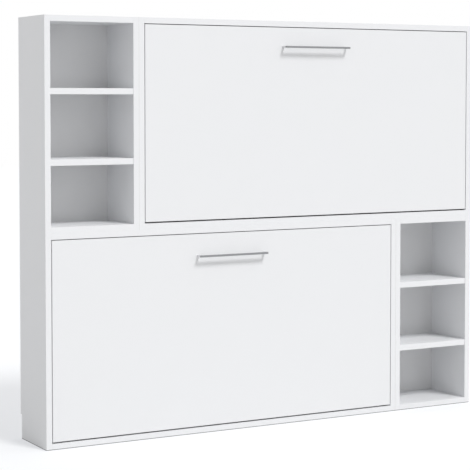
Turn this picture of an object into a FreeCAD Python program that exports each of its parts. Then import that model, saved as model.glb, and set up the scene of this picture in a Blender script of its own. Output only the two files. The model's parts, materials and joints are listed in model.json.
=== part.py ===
"""Bunk wall bed: two beds that fold out sideways from a flush cabinet with two shelf columns.

Frame: +Z up, the fronts face -Y, origin on the floor at the middle of the cabinet. Millimetres.
"""
import FreeCAD, Part
import Sketcher
import math
import os
import re
from types import SimpleNamespace

Vector = FreeCAD.Vector

# Driving dimensions
SIZES = {
    # cabinet boards
    "board": 30,
    "bed_opening_width": 1980,
    "bed_opening_height": 990,
    "column_width": 440,
    "carcass_depth": 335,
    "board_arris": 0.5,
    "back_thickness": 8,
    "back_recess": 15,
    "skirting_depth": 15,
    "skirting_height": 123,
    # shelves, measured up from the floor of their column
    "low_shelf_height": 296,
    "high_shelf_height": 640,
    "shelf_setback": 2,
    # rails that carry the wall screws
    "wall_rail_height": 90,
    "wall_hole_radius": 4.25,
    "wall_hole_spacing": 1320,
    # door and handle
    "door_thickness": 22,
    "door_side_gap": 4,
    "door_top_gap": 4,
    "door_foot_gap": 7,
    "door_arris": 1,
    "handle_pitch": 384,
    "handle_bar": 10,
    "handle_reach": 40,
    "handle_corner": 3,
    "upper_handle_drop": 100,
    "lower_handle_drop": 111,
    # pivot axis, behind the door's face and above its lower edge
    "pivot_setback": 40,
    "pivot_rise": 125,
    # bed frame of steel tube
    "end_room": 35,
    "frame_margin": 12,
    "tube_width": 30,
    "tube_depth": 40,
    "tube_wall": 2,
    # sprung slats and their caps
    "slat_width": 53,
    "slat_thickness": 8,
    "slat_crown": 9,
    "slat_edge": 30,
    "cap_length": 38,
    "cap_overlap": 4,
    "cap_wall": 3,
    "slat_clearance": 0.4,
    # hoops that keep the mattress on the slats
    "hoop_strip": 16,
    "hoop_thickness": 4,
    "hoop_height": 100,
    "hoop_bend": 30,
    # pivot plate on the cabinet
    "plate_thickness": 3,
    "plate_border": 22,
    "plate_corner": 8,
    "boss_radius": 14,
    "bush_radius": 8,
    "bush_proud": 3,
    "press_clearance": 0.02,
    "running_clearance": 0.05,
    "side_clearance": 0.3,
    # pivot bracket and lever on the bed
    "bracket_thickness": 5,
    "bracket_width": 28,
    "bracket_reach": 150,
    "bracket_tail": 104,
    "pin_radius": 6,
    "lever_length": 60,
    "lever_hub_radius": 17,
    "lever_end_radius": 14,
    "stop_width": 18,
    "stop_height": 14,
    "stop_along": 92,
    # gas strut
    "strut_back": 60,
    "strut_up": 215,
    "strut_radius": 10,
    "strut_side_gap": 3,
    "strut_tube": 130,
    "strut_shank": 18,
    "strut_cap": 6,
    "strut_stud_radius": 5,
    "strut_eye_radius": 8.5,
    "strut_eye_width": 8,
    "rod_radius": 5,
    "rod_engagement": 23,
    "rod_block_radius": 10,
    "rod_block_length": 22,
    # rubber buffers behind the closed door
    "buffer_width": 24,
    "buffer_depth": 20,
    "buffer_height": 40,
    "buffer_drop": 60,
    # the skirting notch runs this far past the board
    "overrun": 1,
}

LEVER_ANGLE = 70.0
HOOP_BEND_ANGLE = 45.0
SLAT_COUNT = 14
SLATS_BEFORE_HOOP_COUNT = 2
SLATS_UNDER_HOOP_COUNT = 2
UNIT = 1.0
FLAT = 1e-6

doc = FreeCAD.newDocument("BunkWallBed")
sheet = doc.addObject("Spreadsheet::Sheet", "Sizes")
for row, (size_name, size_value) in enumerate(SIZES.items(), start=1):
    sheet.set(f"A{row}", size_name)
    sheet.set(f"B{row}", str(size_value))
    sheet.setAlias(f"B{row}", size_name)
doc.recompute()

s = SimpleNamespace(**{name: float(sheet.get(name)) for name in SIZES})
size_names = re.compile(r"\b(" + "|".join(SIZES) + r")\b")
nodes = []

# Formulas that many pieces share
LEFT = "-(4 * board + column_width + bed_opening_width) / 2"
FRONT = "-carcass_depth / 2"
MODULE_HEIGHT = "(bed_opening_height + 2 * board)"
INNER_DEPTH = "(carcass_depth - back_recess - back_thickness)"
DOOR_WIDTH = "(bed_opening_width - 2 * door_side_gap)"
DOOR_HEIGHT = "(bed_opening_height - door_top_gap - door_foot_gap)"
FRAME_WIDTH = "(bed_opening_width - 2 * end_room)"
FRAME_HEIGHT = f"({DOOR_HEIGHT} - 2 * frame_margin)"
FRAME_LOW = "(frame_margin - pivot_rise)"
FRAME_FRONT = "(door_thickness - pivot_setback)"

# The bed openings: left face, and the height of the opening's floor
BED_LEFT = {
    "upper": f"{LEFT} + column_width + 3 * board",
    "lower": f"{LEFT} + board",
}
BED_FLOOR = {
    "upper": f"{MODULE_HEIGHT} + board",
    "lower": "board",
}
PIVOT_Y = f"{FRONT} + pivot_setback"


def bind(item, prop, formula):
    """Tie a property to the sheet by a formula of size names."""
    item.setExpression(prop, size_names.sub(r"Sizes.\1", formula))


def place(item, x, y, z):
    """Tie an object's place to the sheet."""
    for axis, formula in zip("xyz", (x, y, z)):
        bind(item, f"Placement.Base.{axis}", formula)


def place_at_pivot(item, bed, x="0", y="0", z="0"):
    """Place an object in the frame of a bed's pivot axis, at the left face of its opening."""
    height = f"{BED_FLOOR[bed]} + door_foot_gap + pivot_rise + {z}"
    place(item, f"{BED_LEFT[bed]} + {x}", f"{PIVOT_Y} + {y}", height)


def new_body(label):
    """Start the body of one named piece."""
    body = doc.addObject("PartDesign::Body", label)
    body.Label = label
    nodes.append(body)
    return body


def new_sketch(body, role):
    """Add a sketch on one of the body's own planes."""
    plane = next(item for item in body.Origin.OriginFeatures if item.Role == role)
    sketch = body.newObject("Sketcher::SketchObject", "Outline")
    sketch.AttachmentSupport = (plane, [""])
    sketch.MapMode = "FlatFace"
    return sketch


def constrain(sketch, kind, first, second, formula):
    """Add a distance between two sketch points, tied to the sheet."""
    index = sketch.addConstraint(Sketcher.Constraint(kind, *first, *second, UNIT))
    bind(sketch, f"Constraints[{index}]", formula)


def add_polygon(sketch, points):
    """Add a closed outline of straight lines, with joined corners."""
    first = sketch.GeometryCount
    count = len(points)
    for start, end in zip(points, points[1:] + points[:1]):
        sketch.addGeometry(Part.LineSegment(Vector(*start), Vector(*end)), False)
    for index in range(count):
        follower = first + (index + 1) % count
        sketch.addConstraint(Sketcher.Constraint("Coincident", first + index, 2, follower, 1))
    return first


def add_rectangle(sketch, width, height, left="0", bottom="0"):
    """Add a rectangle whose size and place are tied to the sheet."""
    first = add_polygon(sketch, [(0, 0), (UNIT, 0), (UNIT, UNIT), (0, UNIT)])
    for index, kind in enumerate(("Horizontal", "Vertical", "Horizontal", "Vertical")):
        sketch.addConstraint(Sketcher.Constraint(kind, first + index))
    origin = (-1, 1)
    constrain(sketch, "DistanceX", origin, (first, 1), left)
    constrain(sketch, "DistanceY", origin, (first, 1), bottom)
    constrain(sketch, "DistanceX", (first, 1), (first, 2), width)
    constrain(sketch, "DistanceY", (first + 1, 1), (first + 1, 2), height)


def add_circle(sketch, centre, radius):
    """Add a circle at a point, its radius tied to the sheet."""
    circle = Part.Circle(Vector(*centre), Vector(0, 0, 1), UNIT)
    index = sketch.addGeometry(circle, False)
    bind_index = sketch.addConstraint(Sketcher.Constraint("Radius", index, UNIT))
    bind(sketch, f"Constraints[{bind_index}]", radius)


def add_hull(sketch, big, big_radius, small, small_radius):
    """Add the outline round two circles: two arcs and their common tangents."""
    axis = Vector(*small) - Vector(*big)
    along = Vector(axis).normalize()
    across = Vector(-along.y, along.x, 0)
    sine = (big_radius - small_radius) / axis.Length
    cosine = math.sqrt(1 - sine ** 2)
    normals = [along * sine + across * cosine, along * sine - across * cosine]
    big_ends = [Vector(*big) + normal * big_radius for normal in normals]
    small_ends = [Vector(*small) + normal * small_radius for normal in normals]
    big_arc = Part.Arc(big_ends[0], Vector(*big) - along * big_radius, big_ends[1])
    small_arc = Part.Arc(small_ends[1], Vector(*small) + along * small_radius, small_ends[0])
    sides = [Part.LineSegment(a, b) for a, b in zip(big_ends, small_ends)]
    for curve in (big_arc, small_arc, *sides):
        sketch.addGeometry(curve, False)


def add_pad(body, sketch, length, start="0", hand=1):
    """Pad a sketch from a given distance off its plane; hand -1 pads the other way."""
    bind(sketch, "AttachmentOffset.Base.z", f"{hand} * ({start})")
    pad = body.newObject("PartDesign::Pad", "Pad")
    pad.Profile = sketch
    pad.Reversed = hand < 0
    bind(pad, "Length", length)
    doc.recompute()
    return pad


def add_pocket(body, sketch):
    """Cut a sketch's outlines right through the body, both ways from its plane."""
    before = body.Shape.Volume
    pocket = body.newObject("PartDesign::Pocket", "Pocket")
    pocket.Profile = sketch
    pocket.Type = "ThroughAll"
    pocket.Midplane = True
    doc.recompute()
    if pocket.Shape.Volume >= before:
        raise RuntimeError(f"{body.Label}: a pocket cut nothing")
    return pocket


def repeat(body, feature, axis, span, count):
    """Repeat a feature in a row along one of the body's axes."""
    line = next(item for item in body.Origin.OriginFeatures if item.Role == axis)
    pattern = body.newObject("PartDesign::LinearPattern", "Row")
    pattern.Originals = [feature]
    pattern.Direction = (line, [""])
    pattern.Occurrences = count
    bind(pattern, "Length", span)
    body.Tip = pattern
    doc.recompute()
    return pattern


def dress_edges(body, kind, feature, size, wanted):
    """Fillet or chamfer the edges of a feature for which wanted(box of the edge) holds."""
    edges = enumerate(feature.Shape.Edges, start=1)
    names = [f"Edge{index}" for index, edge in edges if wanted(edge.BoundBox)]
    dressing = body.newObject(f"PartDesign::{kind}", kind)
    dressing.Base = (feature, names)
    bind(dressing, "Radius" if kind == "Fillet" else "Size", size)
    doc.recompute()
    return dressing


def on_front(box):
    """An edge of the face that lies on the body's own XZ plane."""
    return abs(box.YMin) < FLAT and abs(box.YMax) < FLAT


def along_x(box):
    """An edge that runs along X."""
    return box.YLength < FLAT and box.ZLength < FLAT


def across_y(box):
    """An edge that lies in a plane of constant Y."""
    return box.YLength < FLAT


def make_board(label, size, at):
    """A rectangular board, padded up from its plan, with its front edges broken."""
    body = new_body(label)
    plan = new_sketch(body, "XY_Plane")
    add_rectangle(plan, size[0], size[1])
    pad = add_pad(body, plan, size[2])
    dress_edges(body, "Chamfer", pad, "board_arris", on_front)
    place(body, *at)
    return body


# Cabinet: four boxes of board, two for beds and two for shelves
def make_side(label, x, z, notched):
    """An upright side board; the lower ones are notched at the back for the skirting."""
    side = make_board(label, ("board", "carcass_depth", MODULE_HEIGHT), (x, FRONT, z))
    if notched:
        notch = new_sketch(side, "YZ_Plane")
        add_rectangle(
            notch, "skirting_depth + overrun", "skirting_height",
            left="carcass_depth - skirting_depth",
        )
        add_pocket(side, notch)


def make_back(label, x, z, width, height):
    """The thin back board, set in from the rear edges of the sides."""
    back = new_body(label)
    plan = new_sketch(back, "XY_Plane")
    add_rectangle(plan, width, "back_thickness")
    add_pad(back, plan, height)
    place(back, x, f"{FRONT} + {INNER_DEPTH}", z)


def make_box(name, left, floor, width, back_height, notched):
    """The four boards and the back of one cabinet box."""
    inside = f"{left} + board"
    make_side(f"{name}_left_side", left, floor, notched)
    make_side(f"{name}_right_side", f"{inside} + {width}", floor, notched)
    level = (width, INNER_DEPTH, "board")
    make_board(f"{name}_bottom", level, (inside, FRONT, floor))
    make_board(f"{name}_top", level, (inside, FRONT, f"{floor} + board + bed_opening_height"))
    make_back(f"{name}_back", inside, floor, width, back_height)


def make_shelves(name, left, floor):
    """Two fixed shelves in a column."""
    for shelf in ("low", "high"):
        size = ("column_width", f"{INNER_DEPTH} - shelf_setback", "board")
        height = f"{floor} + board + {shelf}_shelf_height"
        at = (f"{left} + board", f"{FRONT} + shelf_setback", height)
        make_board(f"{name}_{shelf}_shelf", size, at)


# Wall fixing: a thick rail above the back of each bed box, with two screw holes
def make_wall_rail(bed):
    """The rail behind the top board that the wall screws pull against."""
    rail = new_body(f"{bed}_wall_rail")
    plan = new_sketch(rail, "XY_Plane")
    add_rectangle(plan, "bed_opening_width", "back_recess + back_thickness")
    add_pad(rail, plan, "wall_rail_height + board")
    sketch = new_sketch(rail, "XZ_Plane")
    add_circle(sketch, (0, 0), "wall_hole_radius")
    constrain(sketch, "DistanceX", (-1, 1), (0, 3), "(bed_opening_width - wall_hole_spacing) / 2")
    constrain(sketch, "DistanceY", (-1, 1), (0, 3), "wall_rail_height / 2")
    hole = add_pocket(rail, sketch)
    repeat(rail, hole, "X_Axis", "wall_hole_spacing", 2)
    height = f"{BED_FLOOR[bed]} + bed_opening_height - wall_rail_height"
    place(rail, BED_LEFT[bed], f"{FRONT} + {INNER_DEPTH}", height)


# Door and handle
def make_door(bed):
    """The front panel of a bed, which is also the underside of its base."""
    door = new_body(f"{bed}_door")
    plan = new_sketch(door, "XY_Plane")
    add_rectangle(plan, DOOR_WIDTH, "door_thickness")
    pad = add_pad(door, plan, DOOR_HEIGHT)
    dress_edges(door, "Chamfer", pad, "door_arris", across_y)
    place_at_pivot(door, bed, "door_side_gap", "-pivot_setback", "-pivot_rise")


def outer_bend(box):
    """A corner of the handle's bar, away from the door."""
    return box.XLength < FLAT and box.YLength < FLAT and box.YMax < -FLAT


def make_handle(bed):
    """A square bar bent into two posts, screwed to the door."""
    handle = new_body(f"{bed}_handle")
    outer = (s.handle_pitch + s.handle_bar) / 2
    inner = (s.handle_pitch - s.handle_bar) / 2
    reach = -s.handle_reach
    grip = s.handle_bar - s.handle_reach
    plan = new_sketch(handle, "XY_Plane")
    add_polygon(plan, [
        (-outer, 0), (-outer, reach), (outer, reach), (outer, 0),
        (inner, 0), (inner, grip), (-inner, grip), (-inner, 0),
    ])
    pad = add_pad(handle, plan, "handle_bar")
    dress_edges(handle, "Fillet", pad, "handle_corner", outer_bend)
    height = f"{DOOR_HEIGHT} - pivot_rise - {bed}_handle_drop - handle_bar / 2"
    place_at_pivot(handle, bed, "bed_opening_width / 2", "-pivot_setback", height)


# Bed frame: rectangular steel tube behind the door
def make_tube(body, role, section, length):
    """Pad a hollow rectangular section into a tube."""
    sketch = new_sketch(body, role)
    add_rectangle(sketch, section[0], section[1])
    bore = [f"{side} - 2 * tube_wall" for side in section]
    add_rectangle(sketch, bore[0], bore[1], left="tube_wall", bottom="tube_wall")
    return add_pad(body, sketch, length)


def make_frame(bed):
    """Two long rails, and three cross rails between them."""
    long_rails = new_body(f"{bed}_long_rails")
    tube = make_tube(long_rails, "YZ_Plane", ("tube_depth", "tube_width"), FRAME_WIDTH)
    repeat(long_rails, tube, "Z_Axis", f"{FRAME_HEIGHT} - tube_width", 2)
    place_at_pivot(long_rails, bed, "end_room", FRAME_FRONT, FRAME_LOW)
    cross_rails = new_body(f"{bed}_cross_rails")
    tube = make_tube(
        cross_rails, "XY_Plane", ("tube_width", "tube_depth"), f"{FRAME_HEIGHT} - 2 * tube_width"
    )
    repeat(cross_rails, tube, "X_Axis", f"{FRAME_WIDTH} - tube_width", 3)
    place_at_pivot(cross_rails, bed, "end_room", FRAME_FRONT, f"{FRAME_LOW} + tube_width")


# Sprung slats: bowed strips of wood held in plastic caps on the long rails
frame_low = s.frame_margin - s.pivot_rise
frame_height = s.bed_opening_height - s.door_top_gap - s.door_foot_gap - 2 * s.frame_margin
frame_back = s.door_thickness - s.pivot_setback + s.tube_depth
slat_low = frame_low + s.cap_wall + s.slat_clearance
slat_high = frame_low + frame_height - s.cap_wall - s.slat_clearance
slat_length = slat_high - slat_low
slat_seat = frame_back + s.cap_wall + s.slat_clearance
slat_rise = 4 * s.slat_crown * s.cap_length / slat_length
SLAT_SPAN = f"{FRAME_WIDTH} - 2 * slat_edge - slat_width"


def add_bowed_strip(sketch):
    """The long section of a slat: two arcs and its two ends, in the pivot's Y and Z."""
    middle = (slat_low + slat_high) / 2
    faces = []
    for face in (slat_seat, slat_seat + s.slat_thickness):
        low = Vector(face, slat_low, 0)
        crown = Vector(face + s.slat_crown, middle, 0)
        high = Vector(face, slat_high, 0)
        faces.append((low, high))
        sketch.addGeometry(Part.Arc(low, crown, high), False)
    for near, far in zip(*faces):
        sketch.addGeometry(Part.LineSegment(near, far), False)


def make_slats(bed):
    """A row of bowed slats across the bed."""
    slats = new_body(f"{bed}_slats")
    section = new_sketch(slats, "YZ_Plane")
    add_bowed_strip(section)
    strip = add_pad(slats, section, "slat_width")
    repeat(slats, strip, "X_Axis", SLAT_SPAN, SLAT_COUNT)
    place_at_pivot(slats, bed, "end_room + slat_edge")


def cap_outline(end, inward):
    """A channel that grips a slat's end; inward is the direction towards the bed's middle."""
    slot_low = frame_back + s.cap_wall
    slot_high = slot_low + s.slat_thickness + slat_rise + 2 * s.slat_clearance
    top = slot_high + s.cap_wall
    mouth = end + inward * s.cap_length
    floor = end + inward * s.cap_wall
    return [
        (frame_back, end), (frame_back, mouth), (slot_low, mouth), (slot_low, floor),
        (slot_high, floor), (slot_high, mouth), (top, mouth), (top, end),
    ]


def make_slat_caps(bed):
    """A cap at both ends of every slat."""
    caps = new_body(f"{bed}_slat_caps")
    section = new_sketch(caps, "YZ_Plane")
    add_polygon(section, cap_outline(frame_low, 1))
    add_polygon(section, cap_outline(frame_low + frame_height, -1))
    pair = add_pad(caps, section, "slat_width + 2 * cap_overlap")
    repeat(caps, pair, "X_Axis", SLAT_SPAN, SLAT_COUNT)
    place_at_pivot(caps, bed, "end_room + slat_edge - cap_overlap")


# Mattress hoops: bent flat steel that stands on the long rails, its legs between the slats
frame_width = s.bed_opening_width - 2 * s.end_room
slat_pitch = (frame_width - 2 * s.slat_edge - s.slat_width) / (SLAT_COUNT - 1)
row_start = s.end_room + s.slat_edge + (s.slat_width - slat_pitch) / 2
mitre_share = math.tan(math.radians(HOOP_BEND_ANGLE) / 2)


def hoop_outline(first_leg, last_leg):
    """A strip bent at four places, standing on two legs along Y."""
    wall = s.hoop_thickness
    left = first_leg - wall / 2
    right = last_leg + wall / 2
    top = s.hoop_height
    shoulder = top - s.hoop_bend
    inset = wall * mitre_share
    outside = [
        (left, 0), (left, shoulder), (left + s.hoop_bend, top),
        (right - s.hoop_bend, top), (right, shoulder), (right, 0),
    ]
    inside = [
        (right - wall, 0), (right - wall, shoulder - inset), (right - s.hoop_bend - inset, top - wall),
        (left + s.hoop_bend + inset, top - wall), (left + wall, shoulder - inset), (left + wall, 0),
    ]
    return outside + inside


def make_hoops(bed):
    """Two hoops on each long rail, the same distance from both ends."""
    hoops = new_body(f"{bed}_mattress_hoops")
    first_leg = row_start + SLATS_BEFORE_HOOP_COUNT * slat_pitch
    last_leg = first_leg + SLATS_UNDER_HOOP_COUNT * slat_pitch
    section = new_sketch(hoops, "XY_Plane")
    add_polygon(section, hoop_outline(first_leg, last_leg))
    add_polygon(section, hoop_outline(s.bed_opening_width - last_leg, s.bed_opening_width - first_leg))
    pair = add_pad(hoops, section, "hoop_strip")
    repeat(hoops, pair, "Z_Axis", f"{FRAME_HEIGHT} - tube_width", 2)
    height = f"{FRAME_LOW} + (tube_width - hoop_strip) / 2"
    place_at_pivot(hoops, bed, y=f"{FRAME_FRONT} + tube_depth", z=height)


# Lever and strut points in the pivot's Y (backwards) and Z
lever_closed = math.radians(LEVER_ANGLE)
lever_end = (s.lever_length * math.cos(lever_closed), -s.lever_length * math.sin(lever_closed))
strut_top = (s.strut_back, s.strut_up)
strut_run = Vector(*lever_end) - Vector(*strut_top)
strut_length = strut_run.Length
strut_tilt = math.degrees(math.atan2(strut_run.x, -strut_run.y))
bracket_face = s.end_room - s.bracket_thickness
bush_end = bracket_face - s.side_clearance
strut_across = s.plate_thickness + s.strut_side_gap + s.strut_radius
bracket_middle = s.door_thickness - s.pivot_setback + s.tube_depth / 2
bracket_near = bracket_middle - s.bracket_width / 2
bracket_far = bracket_middle + s.bracket_width / 2
stop_low = bracket_far + s.side_clearance


def hand_of(side):
    """Left pieces build towards +X from the left face, right ones towards -X."""
    return 1 if side == "left" else -1


def place_at_side(body, bed, side):
    """Place a piece in the pivot's frame at the left or right face of the opening."""
    place_at_pivot(body, bed, "0" if side == "left" else "bed_opening_width")


# Pivot plate: screwed to the cabinet, carries the bed's pivot, the strut and the open stop
def plate_outline():
    """A foot that reaches from the pivot to the stop, and an arm up to the strut's stud."""
    border = s.plate_border
    front = -s.lever_hub_radius
    back = s.stop_along + border
    top = s.strut_up + border
    return [
        (front, -border), (back, -border), (back, stop_low + 2 * s.stop_height),
        (s.strut_back + border, top), (s.strut_back - border, top), (front, border),
    ]


def stop_outline():
    """A lug that stands just above the strap's tail when the bed is open."""
    near = s.stop_along - s.stop_width / 2
    far = s.stop_along + s.stop_width / 2
    high = stop_low + s.stop_height
    return [(near, stop_low), (far, stop_low), (far, high), (near, high)]


def make_pivot_plate(bed, side):
    """The steel plate with its pivot boss, strut stud and stop lug."""
    hand = hand_of(side)
    plate = new_body(f"{bed}_{side}_pivot_plate")
    outline = new_sketch(plate, "YZ_Plane")
    add_polygon(outline, plate_outline())
    sheet_pad = add_pad(plate, outline, "plate_thickness", hand=hand)
    dress_edges(plate, "Fillet", sheet_pad, "plate_corner", along_x)
    boss = new_sketch(plate, "YZ_Plane")
    add_circle(boss, (0, 0), "boss_radius")
    add_circle(boss, (0, 0), "bush_radius + press_clearance")
    boss_length = "end_room - bracket_thickness - bush_proud - side_clearance - plate_thickness"
    add_pad(plate, boss, boss_length, "plate_thickness", hand)
    stud = new_sketch(plate, "YZ_Plane")
    add_circle(stud, strut_top, "strut_stud_radius")
    stud_length = "strut_side_gap + strut_radius + strut_eye_width / 2 + side_clearance"
    add_pad(plate, stud, stud_length, "plate_thickness", hand)
    stop = new_sketch(plate, "YZ_Plane")
    add_polygon(stop, stop_outline())
    stop_length = "end_room - side_clearance - plate_thickness"
    add_pad(plate, stop, stop_length, "plate_thickness", hand)
    place_at_side(plate, bed, side)


# Pivot bracket: screwed to the end of the bed frame, carries the pin and the lever
def make_pivot_bracket(bed, side):
    """A strap on the frame's end with the strut lever and the pivot pin."""
    hand = hand_of(side)
    bracket = new_body(f"{bed}_{side}_pivot_bracket")
    strap = new_sketch(bracket, "YZ_Plane")
    low = -s.bracket_tail
    high = s.bracket_reach
    add_polygon(strap, [
        (bracket_near, low), (bracket_far, low), (bracket_far, high), (bracket_near, high),
    ])
    add_pad(bracket, strap, "bracket_thickness", "end_room - bracket_thickness", hand)
    lever = new_sketch(bracket, "YZ_Plane")
    add_hull(lever, (0, 0), s.lever_hub_radius, lever_end, s.lever_end_radius)
    add_pad(bracket, lever, "bracket_thickness", "end_room - bracket_thickness", hand)
    pin = new_sketch(bracket, "YZ_Plane")
    add_circle(pin, (0, 0), "pin_radius")
    pin_start = "plate_thickness + side_clearance"
    add_pad(bracket, pin, f"end_room - bracket_thickness - ({pin_start})", pin_start, hand)
    place_at_side(bracket, bed, side)


def turn(body, sketch, axis):
    """Turn a half section about one of its sketch's own axes."""
    turned = body.newObject("PartDesign::Revolution", "Turned")
    turned.Profile = sketch
    turned.ReferenceAxis = (sketch, [axis])
    doc.recompute()


# Pivot bushes: plastic sleeves pressed into the bosses, proud enough to run on the brackets
def bush_section(wall, hand):
    """Half section of a sleeve that starts at a side wall: along the pivot axis, and radius."""
    bore = s.pin_radius + s.running_clearance
    start = wall + hand * s.plate_thickness
    end = wall + hand * bush_end
    return [(start, bore), (start, s.bush_radius), (end, s.bush_radius), (end, bore)]


def make_bushes(bed):
    """The two bushes of a bed."""
    bushes = new_body(f"{bed}_pivot_bushes")
    sections = new_sketch(bushes, "XY_Plane")
    add_polygon(sections, bush_section(0, 1))
    add_polygon(sections, bush_section(s.bed_opening_width, -1))
    turn(bushes, sections, "H_Axis")
    place_at_pivot(bushes, bed)


# Gas strut: a closed tube hung by its eye, and a rod that ends in a block at the lever
def add_tongue(sketch, centre, radius, base):
    """The outline of a tongue: a round end about a centre height, and straight sides to its base."""
    crown = centre + math.copysign(radius, centre - base)
    left = Vector(-radius, centre, 0)
    right = Vector(radius, centre, 0)
    sketch.addGeometry(Part.Arc(left, Vector(0, crown, 0), right), False)
    corners = [right, Vector(radius, base, 0), Vector(-radius, base, 0), left]
    for start, end in zip(corners, corners[1:]):
        sketch.addGeometry(Part.LineSegment(start, end), False)


def place_strut(body, bed, side):
    """Hang a strut piece from the stud, leaning towards the lever."""
    body.Placement.Rotation = FreeCAD.Rotation(Vector(1, 0, 0), strut_tilt)
    across = "plate_thickness + strut_side_gap + strut_radius"
    x = f"({across})" if side == "left" else f"bed_opening_width - ({across})"
    place_at_pivot(body, bed, x, "strut_back", "strut_up")


def make_strut_cylinder(bed, side):
    """The pressure tube: a turned tube with its bore, and a tongue with the eye."""
    cylinder = new_body(f"{bed}_{side}_strut_cylinder")
    bore = s.rod_radius + s.running_clearance
    top = -s.strut_shank
    ceiling = top - s.strut_cap
    foot = top - s.strut_tube
    section = new_sketch(cylinder, "YZ_Plane")
    add_polygon(section, [
        (0, top), (s.strut_radius, top), (s.strut_radius, foot),
        (bore, foot), (bore, ceiling), (0, ceiling),
    ])
    turn(cylinder, section, "V_Axis")
    tongue = new_sketch(cylinder, "YZ_Plane")
    add_tongue(tongue, 0, s.strut_eye_radius, (top + ceiling) / 2)
    add_circle(tongue, (0, 0), "strut_stud_radius + running_clearance")
    add_pad(cylinder, tongue, "strut_eye_width", "-strut_eye_width / 2")
    place_strut(cylinder, bed, side)


def make_strut_rod(bed, side):
    """The polished rod, and the block that joins it to the lever."""
    hand = hand_of(side)
    rod = new_body(f"{bed}_{side}_strut_rod")
    block_top = s.rod_block_length - strut_length
    rod_top = s.rod_engagement - s.strut_shank - s.strut_tube
    section = new_sketch(rod, "YZ_Plane")
    add_polygon(section, [
        (0, -strut_length), (s.rod_radius, -strut_length), (s.rod_radius, rod_top), (0, rod_top),
    ])
    turn(rod, section, "V_Axis")
    block = new_sketch(rod, "YZ_Plane")
    add_tongue(block, -strut_length, s.rod_block_radius, block_top)
    reach = bracket_face - s.side_clearance - strut_across
    add_pad(rod, block, f"strut_eye_width / 2 + {reach}", "-strut_eye_width / 2", hand)
    place_strut(rod, bed, side)


# Rubber buffers on the side boards, which the closed door leans on
def make_buffers(bed):
    """One buffer at each side, near the top of the door."""
    buffers = new_body(f"{bed}_door_buffers")
    plan = new_sketch(buffers, "XY_Plane")
    add_rectangle(plan, "buffer_width", "buffer_depth")
    block = add_pad(buffers, plan, "buffer_height")
    repeat(buffers, block, "X_Axis", "bed_opening_width - buffer_width", 2)
    height = f"{DOOR_HEIGHT} - pivot_rise - buffer_drop - buffer_height"
    place_at_pivot(buffers, bed, y=FRAME_FRONT, z=height)


def make_bed(bed):
    """All the pieces of one bed and of its fittings."""
    make_door(bed)
    make_handle(bed)
    make_frame(bed)
    make_slats(bed)
    make_slat_caps(bed)
    make_hoops(bed)
    make_bushes(bed)
    make_buffers(bed)
    for side in ("left", "right"):
        make_pivot_plate(bed, side)
        make_pivot_bracket(bed, side)
        make_strut_cylinder(bed, side)
        make_strut_rod(bed, side)


def make_cabinet():
    """The shelf columns stand left above and right below, the beds beside them."""
    upper_floor = MODULE_HEIGHT
    upper_bed = f"{LEFT} + column_width + 2 * board"
    lower_column = f"{LEFT} + bed_opening_width + 2 * board"
    short_back = f"{MODULE_HEIGHT} - board - wall_rail_height"
    make_box("upper_column", LEFT, upper_floor, "column_width", MODULE_HEIGHT, False)
    make_shelves("upper_column", LEFT, upper_floor)
    make_box("lower_column", lower_column, "0", "column_width", MODULE_HEIGHT, True)
    make_shelves("lower_column", lower_column, "0")
    make_box("upper_bed", upper_bed, upper_floor, "bed_opening_width", short_back, False)
    make_box("lower_bed", LEFT, "0", "bed_opening_width", short_back, True)
    for bed in ("upper", "lower"):
        make_wall_rail(bed)


def export_nodes():
    """Check every object, then write each piece to its own file."""
    doc.recompute()
    for item in doc.Objects:
        if "Invalid" in item.State or "Error" in item.State:
            raise RuntimeError(f"{item.Label} failed: {item.State}")
    for node in nodes:
        if node.Shape.isNull() or not node.Shape.isValid():
            raise RuntimeError(f"{node.Label} has no valid shape")
    os.makedirs("parts", exist_ok=True)
    for node in nodes:
        node.Shape.exportStep(f"parts/{node.Label}.step")
        print(node.Label, len(node.Shape.Solids), "solids", round(node.Shape.Volume), "mm3")


make_cabinet()
for bed_name in ("upper", "lower"):
    make_bed(bed_name)
export_nodes()
print("strut length", round(strut_length, 3), "tilt", round(strut_tilt, 4), "nodes", len(nodes))
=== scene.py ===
# %% [markdown]
# # A bunk wall bed
# The object is a shallow white cabinet that stands against a wall. Two of its fronts fold down into
# the room and become beds, one above the other, and an open shelf column stands beside each of
# them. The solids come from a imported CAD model, in metres, and stay where they are. This lesson
# gives each of them its finish, adds the small hardware that was left out of the CAD, and sets the
# light and the camera.

# %% Load the frame
import json
import math
import bmesh
import bpy
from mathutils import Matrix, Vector


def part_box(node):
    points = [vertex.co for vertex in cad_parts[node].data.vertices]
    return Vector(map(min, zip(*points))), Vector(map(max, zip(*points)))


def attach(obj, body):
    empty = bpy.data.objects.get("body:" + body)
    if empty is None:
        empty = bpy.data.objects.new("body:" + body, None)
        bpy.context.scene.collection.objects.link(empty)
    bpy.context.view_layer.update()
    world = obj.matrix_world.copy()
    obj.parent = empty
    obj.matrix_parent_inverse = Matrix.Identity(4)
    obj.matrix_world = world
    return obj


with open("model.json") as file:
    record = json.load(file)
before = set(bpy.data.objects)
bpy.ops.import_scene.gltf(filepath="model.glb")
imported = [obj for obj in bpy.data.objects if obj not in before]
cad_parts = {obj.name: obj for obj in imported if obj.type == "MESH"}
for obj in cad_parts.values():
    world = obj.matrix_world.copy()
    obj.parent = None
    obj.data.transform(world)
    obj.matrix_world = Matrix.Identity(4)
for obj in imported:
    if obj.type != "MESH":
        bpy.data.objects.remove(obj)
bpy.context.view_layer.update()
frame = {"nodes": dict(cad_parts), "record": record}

# %% [markdown]
# ## Places
# Every later cell asks the frame where a piece is. The places could be typed in as numbers, but
# these would go wrong as soon as the CAD model changes. The two ends of a bed mirror each other,
# so each end has a sign, which points from the cabinet's side towards the bed.

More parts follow.
